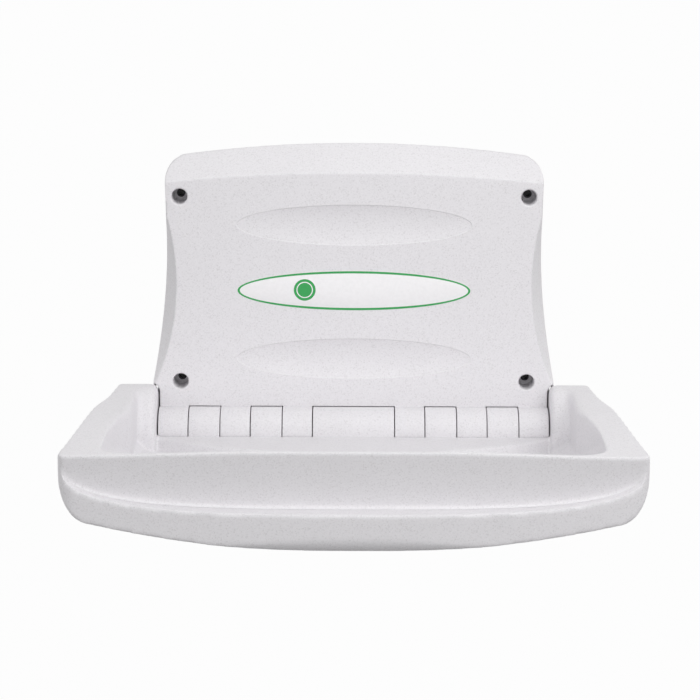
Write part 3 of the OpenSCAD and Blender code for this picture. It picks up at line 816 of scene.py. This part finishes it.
class Finish:
    """A material being built from nodes on Object coordinates."""

    def __init__(self, name, colour, rough, metallic=0.0):
        self.material = bpy.data.materials.new(name)
        self.material.use_nodes = True
        self.tree = self.material.node_tree
        self.shader = self.tree.nodes["Principled BSDF"]
        self.shader.inputs["Base Color"].default_value = (*colour, 1)
        self.shader.inputs["Roughness"].default_value = rough
        self.shader.inputs["Metallic"].default_value = metallic
        self.place = self.add("ShaderNodeTexCoord").outputs["Object"]

    def add(self, kind, links=None, **settings):
        node = self.tree.nodes.new(kind)
        for key, value in settings.items():
            if hasattr(node, key):
                setattr(node, key, value)
            else:
                node.inputs[key].default_value = value
        for key, source in (links or {}).items():
            self.tree.links.new(source, node.inputs[key])
        return node

    def noise(self, scale, detail=2.0, rough=0.5, stretch=None):
        place = self.place
        if stretch:
            stretched = self.add("ShaderNodeMapping", {"Vector": place}, Scale=stretch)
            place = stretched.outputs[0]
        node = self.add(
            "ShaderNodeTexNoise", {"Vector": place}, Scale=scale, Detail=detail
        )
        node.inputs["Roughness"].default_value = rough
        return node.outputs["Fac"]

    def grains(self, scale):
        node = self.add("ShaderNodeTexVoronoi", {"Vector": self.place}, Scale=scale)
        split = self.add("ShaderNodeSeparateColor", {"Color": node.outputs["Color"]})
        return split.outputs["Red"]

    def ramp(self, value, low, high, start=0.0, end=1.0):
        node = self.add("ShaderNodeMapRange", {"Value": value})
        limits = {"From Min": low, "From Max": high, "To Min": start, "To Max": end}
        for key, number in limits.items():
            node.inputs[key].default_value = number
        return node.outputs["Result"]

    def tint(self, base, colour, share):
        node = self.add("ShaderNodeMix", {"Factor": share}, data_type="RGBA")
        if isinstance(base, bpy.types.NodeSocket):
            self.tree.links.new(base, node.inputs["A"])
        else:
            node.inputs["A"].default_value = (*base, 1)
        node.inputs["B"].default_value = (*colour, 1)
        return node.outputs["Result"]

    def link(self, socket, source):
        self.tree.links.new(source, self.shader.inputs[socket])

    def bump(self, height, strength, distance):
        node = self.add(
            "ShaderNodeBump", {"Height": height}, Strength=strength,
            Distance=distance * MM,
        )
        self.link("Normal", node.outputs["Normal"])


def lighter(colour, factor):
    return tuple(min(1.0, channel * factor) for channel in colour)


def moulding_finish(settings):
    """Pale moulded plastic with a fine granite fleck."""
    base = tuple(settings.plastic_colour)
    finish = Finish("granite_plastic", base, 0.5)
    strength = settings.fleck_strength
    cloud = finish.ramp(finish.noise(14, 3), 0.3, 0.7, 0, 0.35 * strength)
    colour = finish.tint(base, lighter(base, 0.9), cloud)
    soft = finish.ramp(finish.noise(330, 2, 0.6), 0.52, 0.72, 0, 0.75 * strength)
    colour = finish.tint(colour, lighter(base, 0.72), soft)
    dark = finish.ramp(finish.grains(640), 0.86, 0.96, 0, 0.5 * strength)
    colour = finish.tint(colour, (0.35, 0.33, 0.33), dark)
    pale = finish.ramp(finish.grains(700), 0.86, 0.96, 0, 0.6 * strength)
    colour = finish.tint(colour, (0.92, 0.92, 0.93), pale)
    finish.link("Base Color", colour)
    finish.link("Roughness", finish.ramp(finish.noise(160, 3), 0.3, 0.7, 0.44, 0.56))
    finish.shader.inputs["Specular IOR Level"].default_value = 0.35
    finish.bump(finish.noise(750, 3, 0.55), 0.22, 0.12)
    return finish.material


def mottled(name, colour, rough, second, patches, skin, metallic=0.0):
    """A finish with soft patches of a second colour and a fine bump. Patches are
    (scale, detail, low, high, most), the skin is (scale, detail, strength, height)."""
    finish = Finish(name, colour, rough, metallic)
    scale, detail, low, high, most = patches
    share = finish.ramp(finish.noise(scale, detail), low, high, 0, most)
    finish.link("Base Color", finish.tint(colour, second, share))
    scale, detail, strength, height = skin
    finish.bump(finish.noise(scale, detail), strength, height)
    return finish


def film_finish(name, colour, rough):
    """Printed vinyl film."""
    patches, skin = (220, 3, 0.35, 0.7, 0.3), (900, 2, 0.1, 0.04)
    return mottled(name, colour, rough, lighter(colour, 0.88), patches, skin).material


def steel_finish():
    """Zinc-coated sheet steel with a faint spangle and rolling lines."""
    finish = Finish("coated_steel", (0.56, 0.57, 0.58), 0.38, 1.0)
    spangle = finish.ramp(finish.grains(120), 0, 1, 0, 0.45)
    colour = finish.tint((0.56, 0.57, 0.58), (0.7, 0.71, 0.72), spangle)
    dull = finish.ramp(finish.noise(35, 4), 0.5, 0.75, 0, 0.4)
    finish.link("Base Color", finish.tint(colour, (0.4, 0.41, 0.42), dull))
    finish.link("Roughness", finish.ramp(finish.noise(60, 3), 0.3, 0.7, 0.3, 0.52))
    finish.bump(finish.noise(60, 2, 0.5, (1, 12, 12)), 0.12, 0.08)
    return finish.material


def zinc_finish():
    """Bright zinc on turned pins and screws."""
    finish = Finish("bright_zinc", (0.7, 0.7, 0.68), 0.28, 1.0)
    share = finish.ramp(finish.noise(180, 3), 0.4, 0.7, 0, 0.5)
    finish.link("Base Color", finish.tint((0.72, 0.72, 0.69), (0.55, 0.55, 0.5), share))
    finish.link("Roughness", finish.ramp(finish.noise(300, 2), 0.3, 0.7, 0.22, 0.42))
    finish.bump(finish.noise(200, 2, 0.5, (14, 1, 1)), 0.1, 0.05)
    return finish.material


def spacer_painted_shade_finish():
    """Near-black steel of the fixing spacers; the near-black colour is painted shade,
    standing in for the shade deep in the counterbores.
    """
    patches, skin = (240, 3, 0.4, 0.7, 0.5), (900, 2, 0.25, 0.06)
    # painted shade: these near-black colours stand in for the shade at the bottom of the
    # deep counterbores
    dark, pale = (0.06, 0.06, 0.065), (0.12, 0.12, 0.125)
    return mottled("spacer_steel_painted_shade", dark, 0.6, pale, patches, skin, 0.3).material


def paint_finish():
    """Black powder paint on the damper."""
    patches, skin = (300, 3, 0.45, 0.7, 0.4), (1100, 2, 0.3, 0.08)
    dark, pale = (0.018, 0.018, 0.02), (0.05, 0.05, 0.052)
    return mottled("black_powder_paint", dark, 0.42, pale, patches, skin).material


def rubber_finish():
    """Matt black rubber with a dusty bloom."""
    patches, skin = (90, 4, 0.4, 0.75, 0.5), (800, 3, 0.4, 0.15)
    dark, bloom = (0.02, 0.02, 0.02), (0.09, 0.088, 0.085)
    return mottled("stop_rubber", dark, 0.85, bloom, patches, skin).material


def nylon_finish():
    """Waxy natural nylon of the hinge bushes."""
    patches, skin = (130, 3, 0.4, 0.7, 0.4), (500, 2, 0.15, 0.06)
    colour, second = (0.82, 0.8, 0.72), (0.7, 0.67, 0.57)
    finish = mottled("natural_nylon", colour, 0.4, second, patches, skin)
    finish.shader.inputs["Subsurface Weight"].default_value = 0.15
    finish.shader.inputs["Subsurface Radius"].default_value = (0.002, 0.0015, 0.001)
    return finish.material


HARDWARE = (
    (steel_finish, (
        "back_plate", "hinge_lugs", "damper_bracket", "damper_yoke", "bed_frame_left",
        "bed_frame_right", "frame_cross_bars", "hinge_rod", "damper_crank",
    )),
    # The spacers' near-black finish is painted shade for the deep counterbores they sit
    # in.
    (spacer_painted_shade_finish, ("fixing_spacers",)),
    (zinc_finish, (
        "panel_screws", "damper_pivot_pin", "damper_rod",
        "rod_lock_pins", "crank_pin", "bed_screws",
    )),
    (paint_finish, ("damper_cylinder", "rod_clips")),
    (rubber_finish, ("stop_pads",)),
    (nylon_finish, ("hinge_bushes",)),
)


# ---- settings -------------------------------------------------------------------


class TableSettings(bpy.types.PropertyGroup):
    """Sizes and colours of the changing table's looks."""

    plastic_colour: bpy.props.FloatVectorProperty(
        name="Plastic", description="Colour of the mouldings", subtype="COLOR",
        size=3, min=0, max=1, default=(0.79, 0.775, 0.797),
    )
    fleck_strength: bpy.props.FloatProperty(
        name="Fleck", description="Strength of the granite fleck", min=0, max=1,
        default=0.4,
    )
    film_colour: bpy.props.FloatVectorProperty(
        name="Label Film", description="Colour of the label film", subtype="COLOR",
        size=3, min=0, max=1, default=(0.9, 0.89, 0.9),
    )
    edge_colour: bpy.props.FloatVectorProperty(
        name="Label Edge", description="Colour of the label's edge and disc",
        subtype="COLOR", size=3, min=0, max=1, default=(0.035, 0.36, 0.09),
    )
    bed_grain: bpy.props.FloatProperty(
        name="Bed Grain", description="Mesh size used to soften the bed",
        unit="LENGTH", min=0.0015, max=0.006, default=0.0026,
    )
    bed_passes: bpy.props.IntProperty(
        name="Bed Rounding", description="Smoothing passes on the bed", min=1, max=40,
        default=10,
    )
    panel_grain: bpy.props.FloatProperty(
        name="Panel Grain", description="Mesh size used to soften the panel",
        unit="LENGTH", min=0.0015, max=0.006, default=0.0022,
    )
    panel_passes: bpy.props.IntProperty(
        name="Panel Rounding", description="Smoothing passes on the panel", min=1,
        max=40, default=5,
    )
    knuckle_edge: bpy.props.FloatProperty(
        name="Knuckle Edge", description="Rounding of the hinge knuckles' edges",
        unit="LENGTH", min=0.0005, max=0.004, default=0.0015,
    )
    rim_dip: bpy.props.FloatProperty(
        name="Rim Dip", description="Fall of the rim at the front corners in millimetres",
        min=0, max=15, default=6.0,
    )
    ledge_slope: bpy.props.FloatProperty(
        name="Ledge Slope", description="Fall of the crescent ledge in millimetres",
        min=0, max=15, default=0.5,
    )


class StageSettings(bpy.types.PropertyGroup):
    """Floor, light and camera."""

    floor_drop: bpy.props.FloatProperty(
        name="Floor", description="Height of the floor", unit="LENGTH", default=-0.95
    )
    sky: bpy.props.FloatProperty(
        name="Sky", description="Strength of the even light", min=0, max=2, default=1.1
    )
    key: bpy.props.FloatProperty(
        name="Key", description="Power of the large lamp above the front", min=0,
        subtype="POWER", default=27.0,
    )
    focal: bpy.props.FloatProperty(
        name="Lens", description="Focal length of the camera in millimetres",
        min=20, max=300, default=142.77,
    )


# ---- stage ----------------------------------------------------------------------


def math_node(tree, operation, *sources):
    """A math node fed with sockets or numbers, one for each input."""
    node = tree.nodes.new("ShaderNodeMath")
    node.operation = operation
    for socket, source in zip(node.inputs, sources):
        if isinstance(source, bpy.types.NodeSocket):
            tree.links.new(source, socket)
        else:
            socket.default_value = source
    return node.outputs[0]


def mixed(tree, share, first, second):
    node = tree.nodes.new("ShaderNodeMixShader")
    for socket, source in zip(node.inputs, (share, first, second)):
        tree.links.new(source, socket)
    return node.outputs[0]


def seen_share(tree):
    """1 on rays from the camera, mirrors and glass, else 0."""
    path = tree.nodes.new("ShaderNodeLightPath").outputs
    seen = math_node(tree, "MAXIMUM", path["Is Camera Ray"], path["Is Glossy Ray"])
    return math_node(tree, "MAXIMUM", seen, path["Is Transmission Ray"])


def plain_material(name, grey, rough):
    material = bpy.data.materials.new(name)
    material.use_nodes = True
    shader = material.node_tree.nodes["Principled BSDF"]
    shader.inputs["Base Color"].default_value = (grey, grey, grey, 1)
    shader.inputs["Roughness"].default_value = rough
    return material


def set_floor(stage):
    """Grey for the light that it throws back, and near white where it is seen."""
    clear_selection()
    bpy.ops.mesh.primitive_plane_add(size=60, location=(0, 0, stage.floor_drop))
    floor = rest(bpy.context.object)
    floor.name = "floor"
    material = plain_material("pale_floor", 0.32, 0.9)
    tree = material.node_tree
    glow = tree.nodes.new("ShaderNodeEmission")
    glow.inputs["Strength"].default_value = 1.0
    share = math_node(tree, "MULTIPLY", seen_share(tree), 0.975)
    grey = tree.nodes["Principled BSDF"]
    surface = mixed(tree, share, grey.outputs[0], glow.outputs[0])
    tree.links.new(surface, tree.nodes["Material Output"].inputs["Surface"])
    floor.data.materials.append(material)


def set_wall_patches():
    """The wall that shows through the fixing holes."""
    material = plain_material("plain_wall", 0.2, 0.5)
    for x, z in BORES:
        clear_selection()
        bpy.ops.mesh.primitive_circle_add(
            vertices=32, radius=FIXING_R * MM, fill_type="NGON",
            location=(x * MM, 0.0005, z * MM), rotation=(math.radians(90), 0, 0),
        )
        patch = rest(bpy.context.object)
        patch.name = "wall_patch"
        patch.data.materials.append(material)


def set_world(stage):
    """Even light that falls off towards the zenith, in front of a white backdrop."""
    world = bpy.data.worlds.new("studio")
    bpy.context.scene.world = world
    world.use_nodes = True
    tree = world.node_tree
    sky = tree.nodes["Background"]
    sky.inputs["Color"].default_value = (1, 1, 1, 1)
    place = tree.nodes.new("ShaderNodeTexCoord")
    parts = tree.nodes.new("ShaderNodeSeparateXYZ")
    tree.links.new(place.outputs["Generated"], parts.inputs[0])
    height = parts.outputs["Z"]
    strength = tree.nodes.new("ShaderNodeMapRange")
    strength.inputs["To Min"].default_value = stage.sky
    strength.inputs["To Max"].default_value = stage.sky * ZENITH_SHARE
    squared = math_node(tree, "MULTIPLY", height, height)
    tree.links.new(squared, strength.inputs["Value"])
    tree.links.new(strength.outputs[0], sky.inputs["Strength"])
    white = tree.nodes.new("ShaderNodeBackground")
    white.inputs["Strength"].default_value = 1.0
    surface = mixed(tree, seen_share(tree), sky.outputs[0], white.outputs[0])
    tree.links.new(surface, tree.nodes["World Output"].inputs["Surface"])


def set_lamps(stage):
    for name, place, size, share in LAMPS:
        clear_selection()
        bpy.ops.object.light_add(type="AREA", location=place)
        lamp = bpy.context.object
        lamp.name = name
        lamp.data.shape = "DISK"
        lamp.data.size = size
        lamp.data.energy = stage.key * share
        aim = Vector(LAMP_AIM) - Vector(place)
        lamp.rotation_euler = aim.to_track_quat("-Z", "Y").to_euler()


def set_camera(stage):
    clear_selection()
    bpy.ops.object.camera_add(location=CAMERA_PLACE)
    camera = bpy.context.object
    camera.rotation_mode = "ZYX"
    tilt, turn = math.radians(90 - CAMERA_PITCH), math.radians(CAMERA_TURN)
    camera.rotation_euler = (tilt, 0, turn)
    camera.data.lens = stage.focal
    camera.data.sensor_width = 36
    camera.data.clip_end = 200
    bpy.context.scene.camera = camera
    bpy.context.scene.view_settings.view_transform = "Standard"


# ---- operators and panel --------------------------------------------------------


def plastic(settings):
    found = bpy.data.materials.get("granite_plastic")
    return found or moulding_finish(settings)


class MakePanel(bpy.types.Operator):
    """Models the panel moulding with its recesses, bores and hinge knuckles"""

    bl_idname = "changing_table.make_panel"
    bl_label = "Panel Moulding"

    def execute(self, context):
        settings = context.scene.table_settings
        make_panel(settings, plastic(settings))
        return {"FINISHED"}


class MakeBed(bpy.types.Operator):
    """Models the bed's tray and underside mouldings"""

    bl_idname = "changing_table.make_bed"
    bl_label = "Bed Mouldings"

    def execute(self, context):
        settings = context.scene.table_settings
        make_bed(settings, plastic(settings))
        return {"FINISHED"}


class MakeLabel(bpy.types.Operator):
    """Lays the bare oval label on the panel"""

    bl_idname = "changing_table.make_label"
    bl_label = "Label"

    def execute(self, context):
        settings = context.scene.table_settings
        white = film_finish("label_white", tuple(settings.film_colour), 0.38)
        green = film_finish("label_green", tuple(settings.edge_colour), 0.4)
        make_label(white, green)
        return {"FINISHED"}


class FinishHardware(bpy.types.Operator):
    """Gives the steel, zinc, painted, rubber and nylon parts their finishes"""

    bl_idname = "changing_table.finish_hardware"
    bl_label = "Hardware Finishes"

    def execute(self, context):
        for make_finish, nodes in HARDWARE:
            material = make_finish()
            for node in nodes:
                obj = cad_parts[node]
                if not obj.material_slots:
                    obj.data.materials.append(material)
                for place in obj.material_slots:
                    place.material = material
        return {"FINISHED"}


class SetStage(bpy.types.Operator):
    """Sets the floor, the even sky, the lamps and the camera"""

    bl_idname = "changing_table.set_stage"
    bl_label = "Stage"

    def execute(self, context):
        stage = context.scene.stage_settings
        set_floor(stage)
        set_wall_patches()
        set_world(stage)
        set_lamps(stage)
        set_camera(stage)
        return {"FINISHED"}


class SidebarPanel(bpy.types.Panel):
    """Lists the pieces and their settings."""

    bl_idname = "VIEW3D_PT_changing_table"
    bl_label = "Changing Table"
    bl_space_type = "VIEW_3D"
    bl_region_type = "UI"
    bl_category = "Changing Table"

    def draw(self, context):
        layout = self.layout
        for group in (context.scene.table_settings, context.scene.stage_settings):
            box = layout.box()
            for name in type(group).__annotations__:
                box.prop(group, name)
        for step in STEPS:
            layout.operator(step.bl_idname)


STEPS = (MakePanel, MakeBed, MakeLabel, FinishHardware, SetStage)
CLASSES = (TableSettings, StageSettings, *STEPS, SidebarPanel)


def register():
    for cls in CLASSES:
        bpy.utils.register_class(cls)
    bpy.types.Scene.table_settings = bpy.props.PointerProperty(type=TableSettings)
    bpy.types.Scene.stage_settings = bpy.props.PointerProperty(type=StageSettings)


def unregister():
    del bpy.types.Scene.stage_settings
    del bpy.types.Scene.table_settings
    for cls in reversed(CLASSES):
        bpy.utils.unregister_class(cls)


def main():
    register()
    bpy.ops.changing_table.make_panel()
    bpy.ops.changing_table.make_bed()
    bpy.ops.changing_table.make_label()
    bpy.ops.changing_table.finish_hardware()
    bpy.ops.changing_table.set_stage()


if __name__ == "__main__":
    main()
